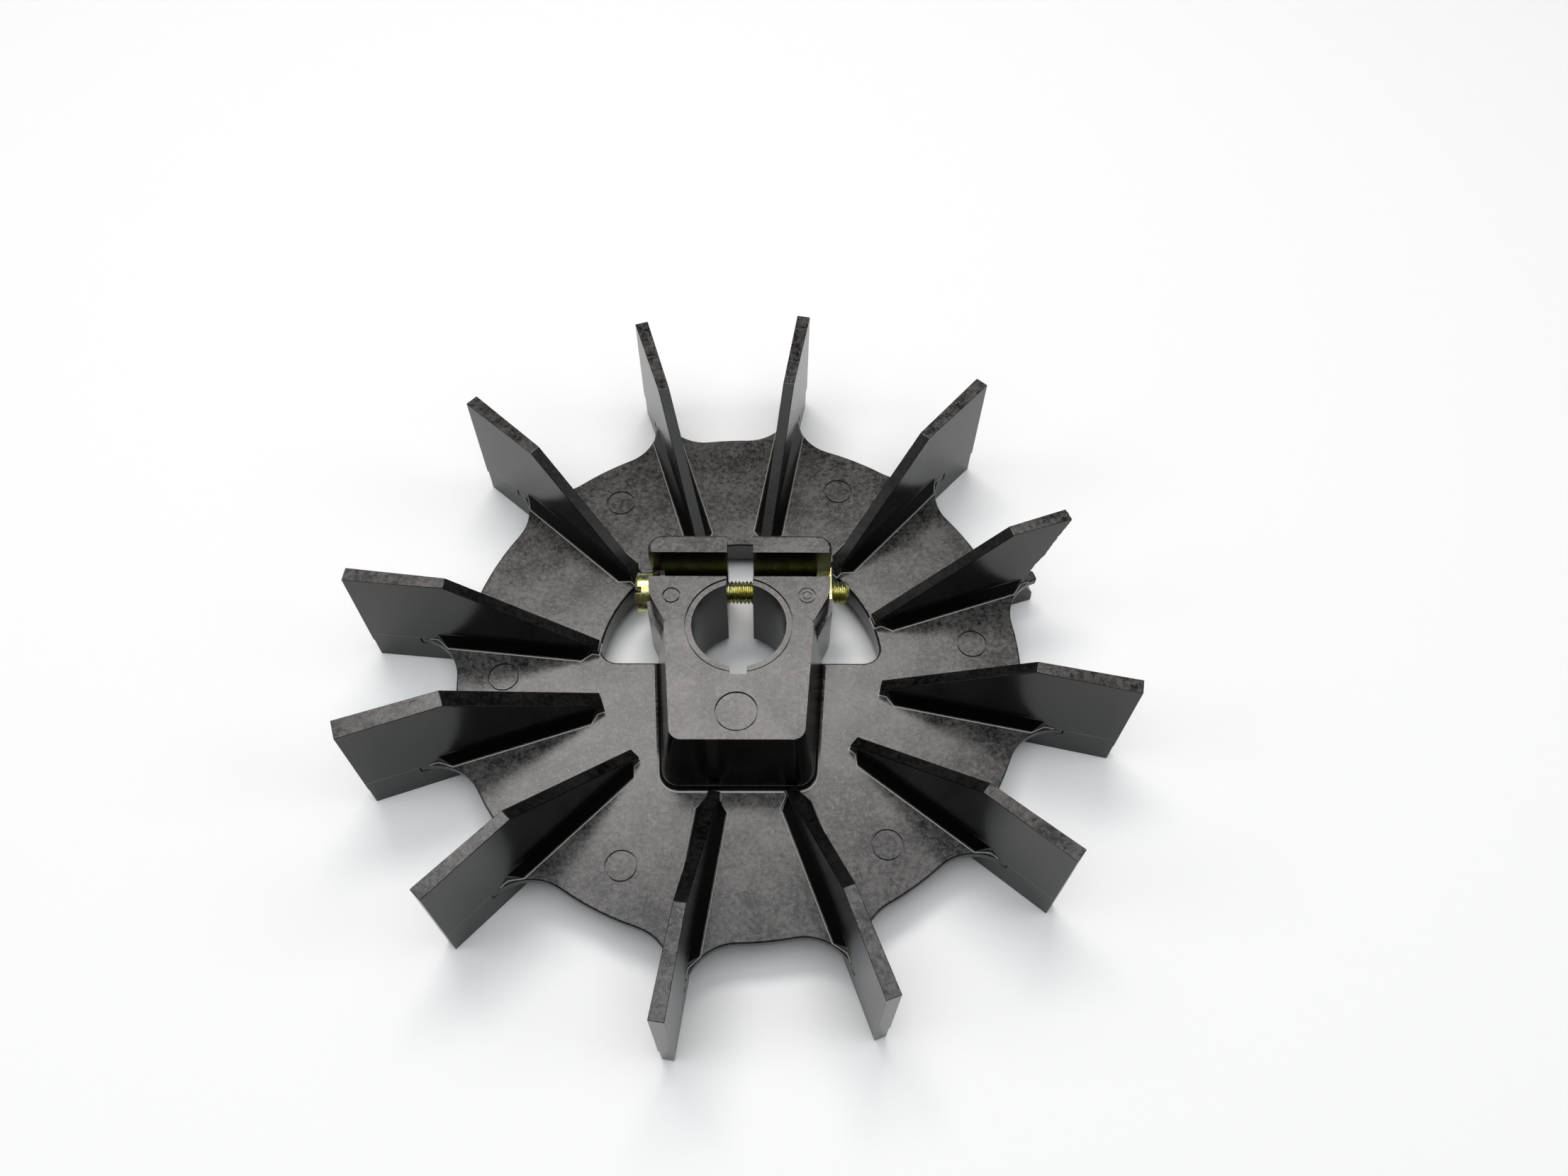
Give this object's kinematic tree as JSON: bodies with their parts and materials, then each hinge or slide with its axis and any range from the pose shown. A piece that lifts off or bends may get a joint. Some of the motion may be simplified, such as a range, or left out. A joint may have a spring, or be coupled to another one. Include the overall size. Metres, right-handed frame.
{
  "type": "motor cooling fan wheel",
  "caption": "Radial cooling fan wheel of flat blades on a scalloped back plate, with a split clamp hub and a cross screw for the shaft.",
  "frame": {"origin": "centre of the shaft bore at the hub's lower face", "axes": "+Z along the shaft towards the hub's top face and the blades' free edges, +Y towards the split between the clamping jaws, the clamp screw along X with its head at -X"},
  "size_m": [0.1559, 0.156, 0.0308],
  "materials": {
    "fan_moulding": "black glass-filled nylon, satin with a faint speckle",
    "zinc_yellow": "yellow-passivated zinc on steel, slightly iridescent",
    "dark_steel": "dark spring steel"
  },
  "bodies": {
    "fan": {"clamp_hub": "fan_moulding", "back_plate": "fan_moulding", "blade_01": "fan_moulding", "blade_02": "fan_moulding", "blade_03": "fan_moulding", "blade_04": "fan_moulding", "blade_05": "fan_moulding", "blade_06": "fan_moulding", "blade_07": "fan_moulding", "blade_08": "fan_moulding", "blade_09": "fan_moulding", "blade_10": "fan_moulding", "blade_11": "fan_moulding", "blade_12": "fan_moulding", "clamp_nut": "zinc_yellow"},
    "washer": {"lock_washer": "dark_steel"},
    "screw": {"clamp_screw": "zinc_yellow"}
  },
  "joints": [
    {"name": "washer_slide", "type": "slide", "parent": "fan", "child": "washer", "axis": [1, 0, 0], "range_m": [-0.0064, 0.0012]},
    {"name": "screw_turn", "type": "hinge", "parent": "washer", "child": "screw", "pos_m": [-0.02, 0.014, 0.0112], "axis": [1, 0, 0], "range_deg": [-2881, 541]}
  ],
  "couplings": [
    {"joint": "screw_turn", "follows": "washer_slide", "rad_per_m": 7854}
  ]
}
